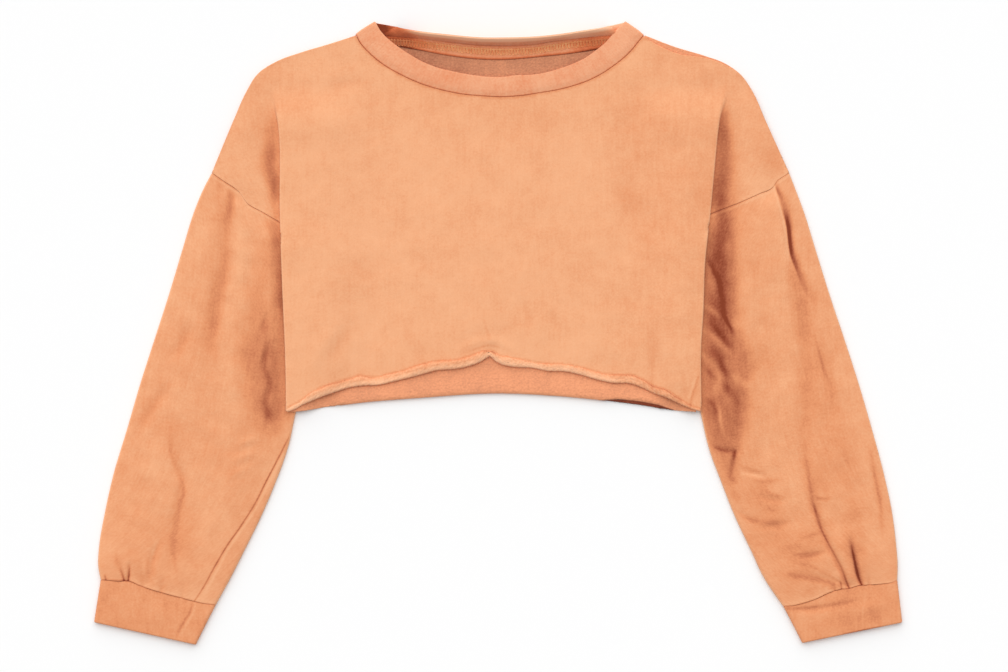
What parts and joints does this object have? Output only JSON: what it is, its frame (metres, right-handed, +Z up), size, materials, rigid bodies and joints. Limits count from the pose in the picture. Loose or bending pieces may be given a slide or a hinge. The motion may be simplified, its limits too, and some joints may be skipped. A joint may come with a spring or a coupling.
{
  "type": "cropped sweatshirt",
  "caption": "Cropped crew-neck sweatshirt in washed French terry, laid flat: drop shoulders, full sleeves gathered into plain cuffs, self-fabric neckband and a raw rolled hem.",
  "frame": {"origin": "on the surface that the garment lies on, under the middle of its outline", "axes": "+X across from the sleeve at the picture's left to the one at its right, +Y from the hem towards the neck, +Z up from the surface"},
  "size_m": [0.8065, 0.6229, 0.0177],
  "materials": {
    "terry_face": "pigment-washed cotton French terry, smooth knitted face, matt",
    "terry_loops": "looped inside of the same terry, matt",
    "terry_band": "the same terry folded double, matt",
    "overlocked_edge": "seam allowance overlocked with golden-orange thread"
  },
  "bodies": {
    "root": {"front_panel": "terry_face", "back_panel": "terry_loops", "sleeve_left": "terry_face", "sleeve_right": "terry_face", "cuff_left": "terry_band", "cuff_right": "terry_band", "neckband": "terry_band", "neck_allowance": "overlocked_edge"}
  },
  "joints": []
}
